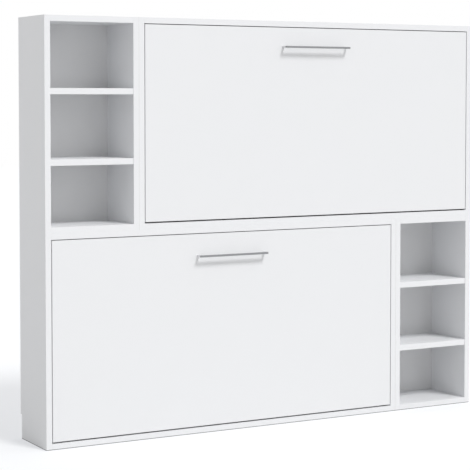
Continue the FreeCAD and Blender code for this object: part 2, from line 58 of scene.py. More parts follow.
# %% Places that many pieces use
BEDS = ("upper", "lower")
ENDS = {"left": 1, "right": -1}
MM = 0.001

joints = frame["record"]["behaviour"]["joints"]
joint_place = {joint["name"]: Vector(joint["pos_m"]) for joint in joints if joint.get("pos_m")}
pivot = {bed: joint_place[f"{bed}_fold"] for bed in BEDS}
board_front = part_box("upper_column_bottom")[0].y
module_height = pivot["upper"].z - pivot["lower"].z
print("fold axes at", {bed: [round(part, 4) for part in pivot[bed]] for bed in BEDS})

# %% [markdown]
# ## Camera
# The picture was taken from the left with a long lens, and its upright edges are parallel. A camera
# that looks level, with a large shift, would keep them exactly so. A small dip with a smaller shift
# gives nearly the same picture, and it also keeps the cabinet in view when the camera is moved to
# other sides. The values were fitted to the cabinet's corners and edges, with angles in degrees.

# %% Camera
CAMERA_PLACE = Vector((-4.16162, -7.23204, 1.69854))
CAMERA_TURN = 29.104
CAMERA_DIP = 2.7
CAMERA_LENS = 121.406
CAMERA_SHIFT = (0.0, -0.1309)

lens = bpy.data.cameras.new("camera")
lens.lens = CAMERA_LENS
lens.shift_x, lens.shift_y = CAMERA_SHIFT
camera = bpy.data.objects.new("camera", lens)
camera.location = CAMERA_PLACE
camera.rotation_euler = (math.radians(90 - CAMERA_DIP), 0, math.radians(-CAMERA_TURN))
bpy.context.scene.collection.objects.link(camera)
bpy.context.scene.camera = camera
print("camera", round(CAMERA_PLACE.length, 2), "m from the middle of the floor")

# %% [markdown]
# ## A small language for shaders
# Node trees are easier to read as arithmetic. `Wire` wraps one socket, and adding, scaling or
# comparing wires adds the nodes for it. Values go through Math nodes, vectors through Vector Math
# and colours through Mix, because a Math node would turn a colour grey. Plain numbers never become
# nodes.

# %% Wires
class Wire:
    """One output socket of a recipe, usable in ordinary arithmetic."""

    def __init__(self, recipe, socket):
        self.recipe = recipe
        self.socket = socket

    def __add__(self, other):
        return self.recipe.join("ADD", self, other)

    def __radd__(self, other):
        return self.recipe.join("ADD", other, self)

    def __sub__(self, other):
        return self.recipe.join("SUBTRACT", self, other)

    def __rsub__(self, other):
        return self.recipe.join("SUBTRACT", other, self)

    def __mul__(self, other):
        return self.recipe.join("MULTIPLY", self, other)

    def __rmul__(self, other):
        return self.recipe.join("MULTIPLY", other, self)

    def __truediv__(self, other):
        return self.recipe.join("DIVIDE", self, other)

    def __rtruediv__(self, other):
        return self.recipe.join("DIVIDE", other, self)

    def __mod__(self, other):
        return self.recipe.join("FLOORED_MODULO", self, other)

    def __rmod__(self, other):
        return self.recipe.join("FLOORED_MODULO", other, self)

    def __lt__(self, other):
        return self.recipe.join("LESS_THAN", self, other)

    def __gt__(self, other):
        return self.recipe.join("GREATER_THAN", self, other)

    def __abs__(self):
        return self.recipe.node("ShaderNodeMath", {"operation": "ABSOLUTE"}, {0: self})


def fitted(socket, value):
    """Stretch a number, or a colour of three parts, to what a socket holds."""
    width = {"VECTOR": 3, "RGBA": 4}.get(socket.type)
    if width is None:
        return value
    parts = [value] * 3 if isinstance(value, (int, float)) else list(value)
    return (parts + [1.0])[:width]


print("wires ready")

# %% [markdown]
# `Recipe` holds one node tree, of a material or of the world. Its `node` method makes any node: the
# settings come first, because some of them change which sockets there are, and then the sockets get
# values or wires. A few short methods name the nodes that every finish uses. A Mix node has several
# sockets of the same name, so those for colours are known by their numbers.

# %% Recipes
MIX_SHARE, MIX_FIRST, MIX_SECOND, MIX_RESULT = 0, 6, 7, 2


class Recipe:
    """A node tree under construction."""

    def __init__(self, owner):
        owner.use_nodes = True
        self.owner = owner
        self.tree = owner.node_tree
        self.tree.nodes.clear()

    def node(self, kind, settings=None, sockets=None, out=0):
        """Add a node, set its settings, then fill its sockets; returns one of its outputs."""
        made = self.tree.nodes.new(kind)
        for name, value in (settings or {}).items():
            setattr(made, name, value)
        for name, value in (sockets or {}).items():
            socket = made.inputs[name]
            if isinstance(value, Wire):
                self.tree.links.new(value.socket, socket)
            else:
                socket.default_value = fitted(socket, value)
        return Wire(self, made.outputs[out]) if made.outputs else made

    def join(self, operation, first, second):
        """One step of arithmetic between wires and numbers."""
        kinds = {part.socket.type for part in (first, second) if isinstance(part, Wire)}
        if "RGBA" in kinds:
            return self.mix(1.0, first, second, operation)
        kind = "ShaderNodeVectorMath" if "VECTOR" in kinds else "ShaderNodeMath"
        return self.node(kind, {"operation": operation}, {0: first, 1: second})

    def mix(self, share, first, second, blend="MIX"):
        """Blend two colours."""
        settings = {"data_type": "RGBA", "blend_type": blend}
        sockets = {MIX_SHARE: share, MIX_FIRST: first, MIX_SECOND: second}
        return self.node("ShaderNodeMix", settings, sockets, out=MIX_RESULT)

    def where(self):
        """Places in the bed's own frame, in metres."""
        return self.node("ShaderNodeTexCoord", out="Object")

    def part(self, vector, axis):
        """One part of a vector."""
        return self.node("ShaderNodeSeparateXYZ", sockets={"Vector": vector}, out=axis.upper())

    def noise(self, where, scale=1.0, detail=2.0, stretch=(1, 1, 1)):
        """Soft random values about one half, so many to the metre along each axis."""
        sockets = {"Vector": where * stretch, "Scale": scale, "Detail": detail}
        return self.node("ShaderNodeTexNoise", sockets=sockets)

    def bump(self, height, distance, strength=1.0):
        """A normal that follows a height, whose full range is a distance in metres."""
        sockets = {"Height": height, "Distance": distance, "Strength": strength}
        return self.node("ShaderNodeBump", sockets=sockets)

    def surface(self, **sockets):
        """Close the recipe with the standard surface; an underscore stands for a space."""
        named = {name.replace("_", " "): value for name, value in sockets.items()}
        shader = self.node("ShaderNodeBsdfPrincipled", sockets=named)
        self.node("ShaderNodeOutputMaterial", sockets={"Surface": shader})
        return self.owner


def new_finish(name):
    """Start the recipe of a named material."""
    return Recipe(bpy.data.materials.new(name))


def between(low, high, share):
    """A value that goes from low to high with a share."""
    return low + (high - low) * share


print("shader language ready")

# %% [markdown]
# ## Light
# In the picture the fronts are almost white and the left side is grey, with a soft shadow under
# each handle. A lamp alone would leave the shelf bays too dark, and light from the front would fill
# them and take away their depth. So one lamp stands at the upper right, and soft light comes from
# both sides, as from large panels, and a little from everywhere. The world is plain white to the
# camera and to mirrors, and dimmer as a light, so the background is white without more light on
# the cabinet.

# %% World and lamp
EVEN_LIGHT = 0.255
PANELS = (("x", -1, 0.67), ("x", 1, 1.50))
LAMP_STRENGTH = 1.85
LAMP_WIDTH = 16
LAMP_FROM = Vector((13, -35, 43))


def seen_share(recipe):
    """One for a ray from the camera, a mirror or a clear surface, nothing for one that lights."""
    share = recipe.node("ShaderNodeLightPath", out="Is Camera Ray")
    for kind in ("Is Glossy Ray", "Is Transmission Ray"):
        share = recipe.join("MAXIMUM", share, recipe.node("ShaderNodeLightPath", out=kind))
    return share


sky = Recipe(bpy.data.worlds.new("studio"))
bpy.context.scene.world = sky.owner
direction = sky.node("ShaderNodeTexCoord", out="Generated")
light = EVEN_LIGHT
for axis, way, strength in PANELS:
    light = light + strength * sky.join("MAXIMUM", way * sky.part(direction, axis), 0.0)
lit_by = sky.node("ShaderNodeBackground", sockets={"Color": light})
seen_as = sky.node("ShaderNodeBackground", sockets={"Color": 1.0})
both = sky.node("ShaderNodeMixShader", sockets={0: seen_share(sky), 1: lit_by, 2: seen_as})
sky.node("ShaderNodeOutputWorld", sockets={"Surface": both})

lamp_data = bpy.data.lights.new("soft_lamp", "SUN")
lamp_data.energy = LAMP_STRENGTH
lamp_data.angle = math.radians(LAMP_WIDTH)
lamp = bpy.data.objects.new("soft_lamp", lamp_data)
lamp.rotation_euler = LAMP_FROM.to_track_quat("Z", "Y").to_euler()
bpy.context.scene.collection.objects.link(lamp)
bpy.context.scene.view_settings.view_transform = "Standard"
print("lamp", LAMP_STRENGTH, "and", len(PANELS), "soft panels")

# %% [markdown]
# ## Floor
# The floor is a wide pale sheet. White paint alone would not reach the white of the background, and
# more light would burn out the cabinet. So the floor has two looks. To the camera and to mirrors it
# is matt and takes the cabinet's shadow, and a little light of its own lifts the rest of it to
# white. To every other ray it is a plain pale sheet that throws light back at the cabinet.

# %% Floor
FLOOR_SIZE = 60.0
FLOOR_COLOUR = 0.60
FLOOR_SEEN = 0.475
FLOOR_LIFT = (0.458, 0.468, 0.488)

shape = bmesh.new()
bmesh.ops.create_grid(shape, x_segments=1, y_segments=1, size=FLOOR_SIZE / 2)
floor_mesh = bpy.data.meshes.new("floor")
shape.to_mesh(floor_mesh)
shape.free()
floor = bpy.data.objects.new("floor", floor_mesh)
bpy.context.scene.collection.objects.link(floor)

paper = new_finish("floor_paper")
lit_by = paper.node("ShaderNodeBsdfDiffuse", sockets={"Color": FLOOR_COLOUR})
matt = paper.node("ShaderNodeBsdfDiffuse", sockets={"Color": FLOOR_SEEN})
lift = paper.node("ShaderNodeEmission", sockets={"Color": FLOOR_LIFT})
seen_as = paper.node("ShaderNodeAddShader", sockets={0: matt, 1: lift})
both = paper.node("ShaderNodeMixShader", sockets={0: seen_share(paper), 1: lit_by, 2: seen_as})
paper.node("ShaderNodeOutputMaterial", sockets={"Surface": both})
floor_mesh.materials.append(paper.owner)
print("floor", FLOOR_SIZE, "m wide")

# %% [markdown]
# ## White boards
# The cabinet is board with a white resin face. Seen close, such a face is not one colour: it has a
# fine pearl texture from the press, and very faint clouds. The front edges carry a thin band, and
# the joint between band and face shows as a hairline. The seam between a bed's box and its shelf
# column is a painted line of shade, and a dark band along the foot is a painted shadow where the
# boards meet the floor. The backs are thinner board, painted a greyer white as shade inside the
# bays. Pictures could give all this, but noise and a few comparisons need no files, and they follow
# the place on the bed, so nothing stretches.

# %% Finish of the boards
COOL_WHITE = (0.792, 0.801, 0.818)
SOFT_WHITE = (0.802, 0.808, 0.822)
# Greyer whites of the backs: painted shade that darkens the inside of the bays.
SHADED_COOL_BACK = (0.772, 0.776, 0.784)
SHADED_SOFT_BACK = (0.782, 0.784, 0.790)
# Grey of the glue hairline and of dust; on the seams between the boxes it is painted shade.
GLUE_DUST_AND_SEAM_SHADE = (0.62, 0.61, 0.59)
# Dark grey band along the foot: a painted shadow where the boards meet the floor.
FOOT_SHADOW_GREY = (0.26, 0.26, 0.27)
FOOT_SHADOW_HEIGHT = 3.5 * MM
BAND_DEPTH = 1.2 * MM
BAND_LINE = 0.15 * MM
BAND_SHARE = 0.5
SEAM_SHADE_HALF = 0.4 * MM
BOARD_CLOUDS = 2.5
BOARD_PEARLS = 700
PEARL_HEIGHT = 0.03 * MM
BOARD_ROUGHNESS = (0.36, 0.48)
WHITE_SPECULAR = 0.28
upper_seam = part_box("upper_bed_left_side")[0].x
lower_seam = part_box("lower_bed_right_side")[1].x


def make_white_board(name, cool, soft):
    """White resin faced board with a banded front edge, painted seam shade and a painted shadow at
    the foot.
    """
    finish = new_finish(name)
    where = finish.where()
    along, height = finish.part(where, "x"), finish.part(where, "z")
    cloud = finish.noise(where, BOARD_CLOUDS)
    pearl = finish.noise(where, BOARD_PEARLS, detail=3)
    hairline = abs(finish.part(where, "y") - (board_front + BAND_DEPTH)) < BAND_LINE
    # Painted shade on the seams between each bed's box and its shelf column.
    upper_seam_shade = (abs(along - upper_seam) < SEAM_SHADE_HALF) * (height > module_height)
    lower_seam_shade = (abs(along - lower_seam) < SEAM_SHADE_HALF) * (height < module_height)
    white = finish.mix(cloud, cool, soft)
    lined_and_seam_shaded = finish.mix(BAND_SHARE * hairline + upper_seam_shade + lower_seam_shade, white, GLUE_DUST_AND_SEAM_SHADE)
    # Below the foot height the colour is a painted shadow, and the seam lines are painted shade.
    return finish.surface(
        Base_Color=finish.mix(height < FOOT_SHADOW_HEIGHT, lined_and_seam_shaded, FOOT_SHADOW_GREY),
        Roughness=between(*BOARD_ROUGHNESS, pearl),
        Specular_IOR_Level=WHITE_SPECULAR,
        Normal=finish.bump(pearl, PEARL_HEIGHT),
    )


white_board = make_white_board("white_board", COOL_WHITE, SOFT_WHITE)
# The backs take the greyer white, a painted shade for the inside of the bays.
white_back_shaded = make_white_board("white_back_shaded", SHADED_COOL_BACK, SHADED_SOFT_BACK)
print("board finishes", white_board.name, white_back_shaded.name)

# %% [markdown]
# The fronts have the same white in a smoother lacquer, which dries with a slight orange peel and
# catches a little dust. The peel could be a dented mesh. Its dents are only hundredths of a
# millimetre high, so a bump is enough, and the doors keep their few faces.

# %% Finish of the fronts
FRONT_CLOUDS = 1.7
FRONT_PEEL = 240
FRONT_DUST = 1500
DUST_SHARE = 0.06
FRONT_ROUGHNESS = (0.30, 0.40)


def make_white_front():
    """The doors' smoother lacquer, with a slight orange peel."""
    finish = new_finish("white_front")
    where = finish.where()
    cloud = finish.noise(where, FRONT_CLOUDS)
    peel = finish.noise(where, FRONT_PEEL, detail=1)
    dust = finish.noise(where, FRONT_DUST, detail=1)
    white = finish.mix(cloud, COOL_WHITE, SOFT_WHITE)
    return finish.surface(
        Base_Color=finish.mix(DUST_SHARE * dust, white, GLUE_DUST_AND_SEAM_SHADE),
        Roughness=between(*FRONT_ROUGHNESS, peel),
        Specular_IOR_Level=WHITE_SPECULAR,
        Normal=finish.bump(peel, PEARL_HEIGHT),
    )


white_front = make_white_front()
print("front finish", white_front.name)

# %% [markdown]
# ## Metals
# A handle is one bent bar, brushed along its length. The shader has a setting for brushed metal,
# but it needs a direction at every point. Noise that is stretched along the grip, or along a leg,
# gives scratches that can be seen from close by as well. The grip is a darker steel, and the legs
# are painted lighter: a painted sheen where they catch the bright surroundings.

# %% Finish of the handles
GRIP_DARK = (0.25, 0.255, 0.262)
GRIP_LIGHT = (0.36, 0.365, 0.372)
# Lighter tones of the legs: a painted sheen of the bright surroundings.
LEG_SHEEN_DARK = (0.62, 0.625, 0.63)
LEG_SHEEN_LIGHT = (0.74, 0.745, 0.75)
GRIP_DEPTH = 10 * MM
GRIP_SCRATCH = (40, 3000, 3000)
LEG_SCRATCH = (3000, 40, 3000)
SCRATCH_HEIGHT = 0.01 * MM
HANDLE_ROUGHNESS = (0.28, 0.44)
grip_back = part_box("upper_handle")[0].y + GRIP_DEPTH


def make_handle_steel():
    """Steel brushed along the grip and along the legs, which get a painted lighter sheen."""
    finish = new_finish("handle_steel")
    where = finish.where()
    leg = finish.part(where, "y") > grip_back
    along_grip = finish.noise(where, detail=3, stretch=GRIP_SCRATCH)
    along_leg = finish.noise(where, detail=3, stretch=LEG_SCRATCH)
    scratch = between(along_grip, along_leg, leg)
    grip = finish.mix(scratch, GRIP_DARK, GRIP_LIGHT)
    return finish.surface(
        # The legs' lighter colour is a painted sheen.
        Base_Color=finish.mix(leg, grip, finish.mix(scratch, LEG_SHEEN_DARK, LEG_SHEEN_LIGHT)),
        Metallic=1.0,
        Roughness=between(*HANDLE_ROUGHNESS, scratch),
        Normal=finish.bump(scratch, SCRATCH_HEIGHT),
    )


handle_steel = make_handle_steel()
print("handle finish", handle_steel.name)

# %% [markdown]
# The bed frame is steel tube under grey powder coat. The powder melts into fine soft grains and
# drifts a little thicker here and there, so two noises of very different size share the colour, and
# the fine one alone feeds the bump. Metal under paint is not a metal to the shader.

# %% Finish of the tube frame
COAT_DARK = (0.30, 0.31, 0.32)
COAT_LIGHT = (0.35, 0.36, 0.37)
COAT_GRAINS = 1300
COAT_DRIFT = 9
DRIFT_SHARE = 0.6
COAT_HEIGHT = 0.06 * MM
COAT_ROUGHNESS = (0.48, 0.64)


def make_frame_steel():
    """Grey powder coat, which sets in fine soft grains."""
    finish = new_finish("frame_steel")
    where = finish.where()
    grain = finish.noise(where, COAT_GRAINS)
    drift = finish.noise(where, COAT_DRIFT)
    tone = between(grain, drift, DRIFT_SHARE)
    return finish.surface(
        Base_Color=finish.mix(tone, COAT_DARK, COAT_LIGHT),
        Roughness=between(*COAT_ROUGHNESS, grain),
        Normal=finish.bump(grain, COAT_HEIGHT),
    )


frame_steel = make_frame_steel()
print("frame finish", frame_steel.name)

# %% [markdown]
# The pivot fittings are zinc plated. Zinc sets in flat crystals of slightly different greys, for
# which a Voronoi texture is the natural choice: each of its cells has one random colour, and one
# part of that colour is the shade. A noise smears it, as handling does.

# %% Finish of the pivot fittings
ZINC_DARK = (0.54, 0.55, 0.57)
ZINC_LIGHT = (0.70, 0.70, 0.69)
ZINC_CRYSTALS = 260
ZINC_SMEARS = 60
ZINC_CONTRAST = 2
ZINC_ROUGHNESS = (0.30, 0.44)
SMEAR_ROUGHNESS = 0.10


def make_zinc_steel():
    """Zinc plate, with flat crystals of slightly different greys."""
    finish = new_finish("zinc_steel")
    where = finish.where()
    sockets = {"Vector": where, "Scale": ZINC_CRYSTALS}
    crystals = finish.node("ShaderNodeTexVoronoi", sockets=sockets, out="Color")
    shade = finish.part(crystals, "x")
    smear = finish.noise(where, ZINC_SMEARS, detail=3)
    return finish.surface(
        Base_Color=finish.mix(shade * smear * ZINC_CONTRAST, ZINC_DARK, ZINC_LIGHT),
        Metallic=1.0,
        Roughness=between(*ZINC_ROUGHNESS, shade) + SMEAR_ROUGHNESS * smear,
        Normal=finish.bump(smear, SCRATCH_HEIGHT),
    )


zinc_steel = make_zinc_steel()
print("fitting finish", zinc_steel.name)

# %% [markdown]
# A rod and the block at its end are one solid, but only the rod is polished. A second material
# would have to be set face by face in the CAD mesh, which stays as it is. Both beds are alike, one
# module above the other, so the height within the module tells the block from the rod in one
# finish.

# %% Finish of the strut rods
CHROME = (0.74, 0.74, 0.75)
BLOCK_DROP = 34.6 * MM
ROD_WEAR = (20, 20, 1800)
ROD_WEAR_STRENGTH = 0.3
ROD_ROUGHNESS = (0.06, 0.12)
BLOCK_PLATING = 400
BLOCK_ROUGHNESS = (0.26, 0.36)
block_top = pivot["lower"].z - BLOCK_DROP


def make_rod_chrome():
    """Polished rod with faint rings of wear, and a plated, duller block below it."""
    finish = new_finish("rod_chrome")
    where = finish.where()
    block = (finish.part(where, "z") % module_height) < block_top
    rings = finish.noise(where, stretch=ROD_WEAR)
    plating = finish.noise(where, BLOCK_PLATING)
    return finish.surface(
        Base_Color=finish.mix(block, CHROME, ZINC_DARK),
        Metallic=1.0,
        Roughness=between(*ROD_ROUGHNESS, rings) + block * between(*BLOCK_ROUGHNESS, plating),
        Normal=finish.bump(rings, SCRATCH_HEIGHT, ROD_WEAR_STRENGTH),
    )


rod_chrome = make_rod_chrome()
print("rod finish", rod_chrome.name)

# %% [markdown]
# The strut's tube is drawn steel under black lacquer. One dark colour would look like a hole, so
# the lacquer is worn in streaks along the tube, and a clear coat over it keeps its gloss.

# %% Finish of the strut tubes
LACQUER = (0.020, 0.020, 0.022)
LACQUER_WORN = (0.050, 0.049, 0.047)
LACQUER_SPECKS = 500
LACQUER_ROUGHNESS = (0.26, 0.40)
LACQUER_COAT = 0.4
LACQUER_COAT_ROUGHNESS = 0.12
DRAWN_STREAKS = (900, 900, 25)
WORN_SHARE = 1.6


def make_strut_black():
    """Black lacquer over drawn tube."""
    finish = new_finish("strut_black")
    where = finish.where()
    speck = finish.noise(where, LACQUER_SPECKS, detail=3)
    drawn = finish.noise(where, stretch=DRAWN_STREAKS)
    return finish.surface(
        Base_Color=finish.mix(drawn * speck * WORN_SHARE, LACQUER, LACQUER_WORN),
        Roughness=between(*LACQUER_ROUGHNESS, speck),
        Normal=finish.bump(drawn, SCRATCH_HEIGHT),
        Coat_Weight=LACQUER_COAT,
        Coat_Roughness=LACQUER_COAT_ROUGHNESS,
    )


strut_black = make_strut_black()
print("strut finish", strut_black.name)

# %% [markdown]
# ## Wood
# The slats are pressed from thin birch veneers, with a crown in the middle. Their faces show long
# grain, and their cut edges show the veneers as stripes. The grain is noise that is stretched along
# the slat. Stripes of equal depth would run out over the crowned face, so the depth is measured
# from the crown, and each veneer bends with the slat.

# %% Finish of the slats
BIRCH_PALE = (0.80, 0.65, 0.45)
BIRCH_DEEP = (0.58, 0.40, 0.23)
BIRCH_GRAIN = (420, 420, 7)
BIRCH_FIGURE = (24, 24, 2.2)
GRAIN_TONE, FIGURE_TONE, LAYER_TONE, PALE_TONE = 1.1, 0.7, 0.12, 0.5
GRAIN_HEIGHT = 0.08 * MM
VENEER = 1.35 * MM
SLAT_CROWN = 9 * MM
SLAT_ROUGHNESS = (0.38, 0.58)
SLAT_COAT = 0.25
SLAT_COAT_ROUGHNESS = 0.2
slat_low, slat_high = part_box("lower_slats")
slat_middle = (slat_low.z + slat_high.z) / 2
slat_half = (slat_high.z - slat_low.z) / 2


def make_slat_birch():
    """Lacquered birch laminate; the slats lie along Z and their veneers follow the crown."""
    finish = new_finish("slat_birch")
    where = finish.where()
    grain = finish.noise(where, detail=4, stretch=BIRCH_GRAIN)
    figure = finish.noise(where, stretch=BIRCH_FIGURE)
    share = (finish.part(where, "z") % module_height - slat_middle) / slat_half
    depth = slat_high.y - finish.part(where, "y") - SLAT_CROWN * share * share
    layer = ((depth + VENEER / 2) % (2 * VENEER)) < VENEER
    tone = GRAIN_TONE * grain + FIGURE_TONE * figure + LAYER_TONE * layer - PALE_TONE
    return finish.surface(
        Base_Color=finish.mix(tone, BIRCH_PALE, BIRCH_DEEP),
        Roughness=between(*SLAT_ROUGHNESS, grain),
        Normal=finish.bump(grain, GRAIN_HEIGHT),
        Coat_Weight=SLAT_COAT,
        Coat_Roughness=SLAT_COAT_ROUGHNESS,
    )


slat_birch = make_slat_birch()
print("slat finish", slat_birch.name)

# %% [markdown]
# The wall rails are planed softwood with wide, soft rings. A ring grows slowly darker and ends at
# once, as a sawtooth does, so the rings are a modulo of the height, bent by a slow noise. The face
# that shows inside the bed's box is painted white. The paint goes by the depth of the place, so
# the rail needs no second material.

# %% Finish of the wall rails
PINE_PALE = (0.83, 0.70, 0.50)
PINE_RING = (0.67, 0.47, 0.27)
RING_WIDTH = 5 * MM
RING_LEAN = 0.6
RING_WAVES = 5
RING_WARP = (1.2, 9, 9)
RING_TONE, FIBRE_TONE = 0.65, 0.3
PINE_FIBRES = (10, 700, 700)
FIBRE_HEIGHT = 0.1 * MM
PAINT_EDGE = 0.3 * MM
PAINT_COVER = (0.9, 1.0)
RAIL_ROUGHNESS = (0.55, 0.70)
rail_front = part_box("upper_wall_rail")[0].y


def make_rail_timber():
    """Planed softwood along X, painted on the face that shows inside the bed's box."""
    finish = new_finish("rail_timber")
    where = finish.where()
    depth, height = finish.part(where, "y"), finish.part(where, "z")
    warp = finish.noise(where, stretch=RING_WARP)
    rings = ((height + RING_LEAN * depth) / RING_WIDTH + RING_WAVES * warp) % 1.0
    fibre = finish.noise(where, detail=3, stretch=PINE_FIBRES)
    wood = finish.mix(RING_TONE * rings * rings + FIBRE_TONE * fibre, PINE_PALE, PINE_RING)
    painted = depth < rail_front + PAINT_EDGE
    return finish.surface(
        Base_Color=finish.mix(painted * between(*PAINT_COVER, fibre), wood, COOL_WHITE),
        Roughness=between(*RAIL_ROUGHNESS, fibre),
        Normal=finish.bump(fibre, FIBRE_HEIGHT),
    )


rail_timber = make_rail_timber()
print("rail finish", rail_timber.name)

# %% [markdown]
# ## Plastics and rubber
# Moulded plastic takes the fine spark texture of its mould, so a small sharp noise feeds its bump
# and gloss. The slat caps are black, the pivot bushes natural nylon, and the buffers soft grey
# rubber, which is duller and slightly dusty. Three recipes would repeat each other, so one recipe
# reads two tones, a roughness and a height of texture from a table.

# %% Finishes of the moulded pieces
MOULDED = {
    "cap_plastic": ((0.045, 0.045, 0.048), (0.095, 0.095, 0.10), 0.45, 0.05 * MM),
    "bush_nylon": ((0.80, 0.79, 0.74), (0.88, 0.87, 0.84), 0.40, 0.02 * MM),
    "buffer_rubber": ((0.50, 0.50, 0.50), (0.60, 0.60, 0.59), 0.75, 0.10 * MM),
}
MOULD_SPARKS = 1600
MOULD_FLOW = 45
SPARK_ROUGHNESS = 0.15


def make_moulded(name, dark, light, roughness, height):
    """A moulded surface between two tones, with a spark texture."""
    finish = new_finish(name)
    where = finish.where()
    spark = finish.noise(where, MOULD_SPARKS)
    flow = finish.noise(where, MOULD_FLOW)
    return finish.surface(
        Base_Color=finish.mix((flow + spark) / 2, dark, light),
        Roughness=roughness + SPARK_ROUGHNESS * spark,
        Normal=finish.bump(spark, height),
    )


moulded = {name: make_moulded(name, *look) for name, look in MOULDED.items()}
print("moulded finishes", *moulded)

# %% [markdown]
# ## Dressing the CAD nodes
# Each node keeps its CAD mesh. Its finish could be chosen by the node's name, but the record has a
# material slot for each node, so the finishes are filed by slot. They are not looked up by their
# own names, because the CAD materials came first, and Blender numbers a second one of the same
# name. Only the doors and the backs differ from the boards that they share a slot with.

# %% Assign the finishes
finishes = {
    "white_board": white_board,
    "handle_steel": handle_steel,
    "frame_steel": frame_steel,
    "zinc_steel": zinc_steel,
    "rod_chrome": rod_chrome,
    "strut_black": strut_black,
    "slat_birch": slat_birch,
    "rail_timber": rail_timber,
    **moulded,
}
OWN_FINISH = {"_door": white_front, "_back": white_back_shaded}

for subpart in frame["record"]["subparts"]:
    finish = finishes[subpart["material_slot"]]
    for ending, own in OWN_FINISH.items():
        if subpart["node"].endswith(ending):
            finish = own
    for material_slot in frame["nodes"][subpart["node"]].material_slots:
        material_slot.material = finish
print("dressed", len(frame["nodes"]), "nodes")

# %% [markdown]
# ## Turned hardware
# Screws, bolts, caps and even weld beads are turned forms: rings of points round an axis, joined by
# faces. A ring's radius may change with the angle, so one helper also makes hexagon sockets, cross
# recesses and flat plugs with rounded corners. It is kinder to the mesh than cutting with booleans.

# %% Turned forms
RING_POINTS = 24
SHARP_ANGLE = math.radians(35)


def add_turned(shape, place, axis, rings, points=RING_POINTS):
    """Add a closed form of rings, each a height and a radius or a function of the angle."""
    turn = Vector((0, 0, 1)).rotation_difference(axis)
    loops = []
    for height, radius in rings:
        loop = []
        for step in range(points):
            angle = 2 * math.pi * step / points
            reach = radius(angle) if callable(radius) else radius
            spot = Vector((reach * math.cos(angle), reach * math.sin(angle), height))
            loop.append(shape.verts.new(place + turn @ spot))
        loops.append(loop)
    for low, high in zip(loops, loops[1:]):
        for step in range(points):
            after = (step + 1) % points
            shape.faces.new((low[step], low[after], high[after], high[step]))
    shape.faces.new(reversed(loops[0]))
    shape.faces.new(loops[-1])


def in_mm(rings):
    """Rings that were written down in millimetres, as metres."""
    return [(height * MM, radius * MM) for height, radius in rings]


def add_piece(name, shape, body, slot_name):
    """Turn a finished shape into an object that rides on a body and takes a slot's finish."""
    mesh = bpy.data.meshes.new(name)
    shape.to_mesh(mesh)
    shape.free()
    mesh.polygons.foreach_set("use_smooth", [True] * len(mesh.polygons))
    mesh.set_sharp_from_angle(angle=SHARP_ANGLE)
    mesh.materials.append(finishes[slot_name])
    piece = bpy.data.objects.new(name, mesh)
    bpy.context.scene.collection.objects.link(piece)
    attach(piece, body)


print("turned forms with", RING_POINTS, "points to a ring")

# %% [markdown]
# Two heads cover all the fasteners. Wood screws have a pan head with a cross recess, and the bolts
# in steel have a low round head with a hexagon socket. Both could be drawn apart, but they differ
# only in the recess, so one profile holds the shares of height and radius for both.

# %% Screw and bolt heads
HEAD_PROFILE = ((0, 1), (0.35, 1), (0.72, 0.88), (1, 0.66))
RECESS_FLOOR = 0.4
CROSS_REACH = 0.55
CROSS_CORE = 0.38
CROSS_SHARPNESS = 4
SOCKET_FLAT = 0.42


def hexagon(flat):
    """Radius of a hexagon at an angle, for half its width over the flats."""
    sector = math.pi / 3
    return lambda angle: flat / math.cos(angle % sector - sector / 2)


def cross(reach):
    """Radius of a cross recess with rounded arms."""
    def radius(angle):
        return reach * between(CROSS_CORE, 1, abs(math.cos(2 * angle)) ** CROSS_SHARPNESS)
    return radius


def head_rings(radius, height, recess):
    """A domed head with a recess that goes down to a share of its height."""
    dome = [(up * height, out * radius) for up, out in HEAD_PROFILE]
    return dome + [(height, recess), (RECESS_FLOOR * height, recess)]


def add_screw(shape, place, axis, radius, height):
    """A pan head wood screw."""
    add_turned(shape, place, axis, head_rings(radius, height, cross(CROSS_REACH * radius)))


def add_bolt(shape, place, axis, radius, height):
    """A round head bolt with a hexagon socket."""
    add_turned(shape, place, axis, head_rings(radius, height, hexagon(SOCKET_FLAT * radius)))


print("fastener heads ready")

# %% [markdown]
# ## Screws of the pivot plates
# Each plate is screwed to the inside of its cabinet side. Every screw could be an object, but the
# screws of one plate always stay together, so they share a mesh. They stand where nothing passes:
# two along the foot, one above the boss, and two halfway up, with the strut's swing between them.

# %% Pivot plate screws
PLATE_THICKNESS = 3 * MM
PLATE_SCREW_PLACES = ((28, -11), (92, -11), (0, 39), (20, 107), (88, 107))
PLATE_SCREW_RADIUS = 5 * MM
PLATE_SCREW_HEIGHT = 2.4 * MM

for bed in BEDS:
    for end, hand in ENDS.items():
        low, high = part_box(f"{bed}_{end}_pivot_plate")
        face = low.x + PLATE_THICKNESS if hand > 0 else high.x - PLATE_THICKNESS
        shape = bmesh.new()
        for back, up in PLATE_SCREW_PLACES:
            spot = Vector((face, pivot[bed].y + back * MM, pivot[bed].z + up * MM))
            add_screw(shape, spot, Vector((hand, 0, 0)), PLATE_SCREW_RADIUS, PLATE_SCREW_HEIGHT)
        add_piece(f"{bed}_{end}_plate_screws", shape, "cabinet", "zinc_steel")
print("plate screws", len(PLATE_SCREW_PLACES) * len(BEDS) * len(ENDS))

# %% [markdown]
# ## Bolts of the pivot brackets
# The bracket's strap is bolted to the end tube of the bed frame. A disc would do for a head from
# afar, but an open bed shows these bolts from close by, so each has a real socket. The heads face
# the plate, and they keep away from the lever's end, where the strut's block turns.

# %% Pivot bracket bolts
STRAP_THICKNESS = 5 * MM
STRAP_MIDDLE = 2
STRAP_BOLT_HEIGHTS = (-90, 46, 92, 138)
STRAP_BOLT_RADIUS = 5 * MM
STRAP_BOLT_HEIGHT = 2.2 * MM

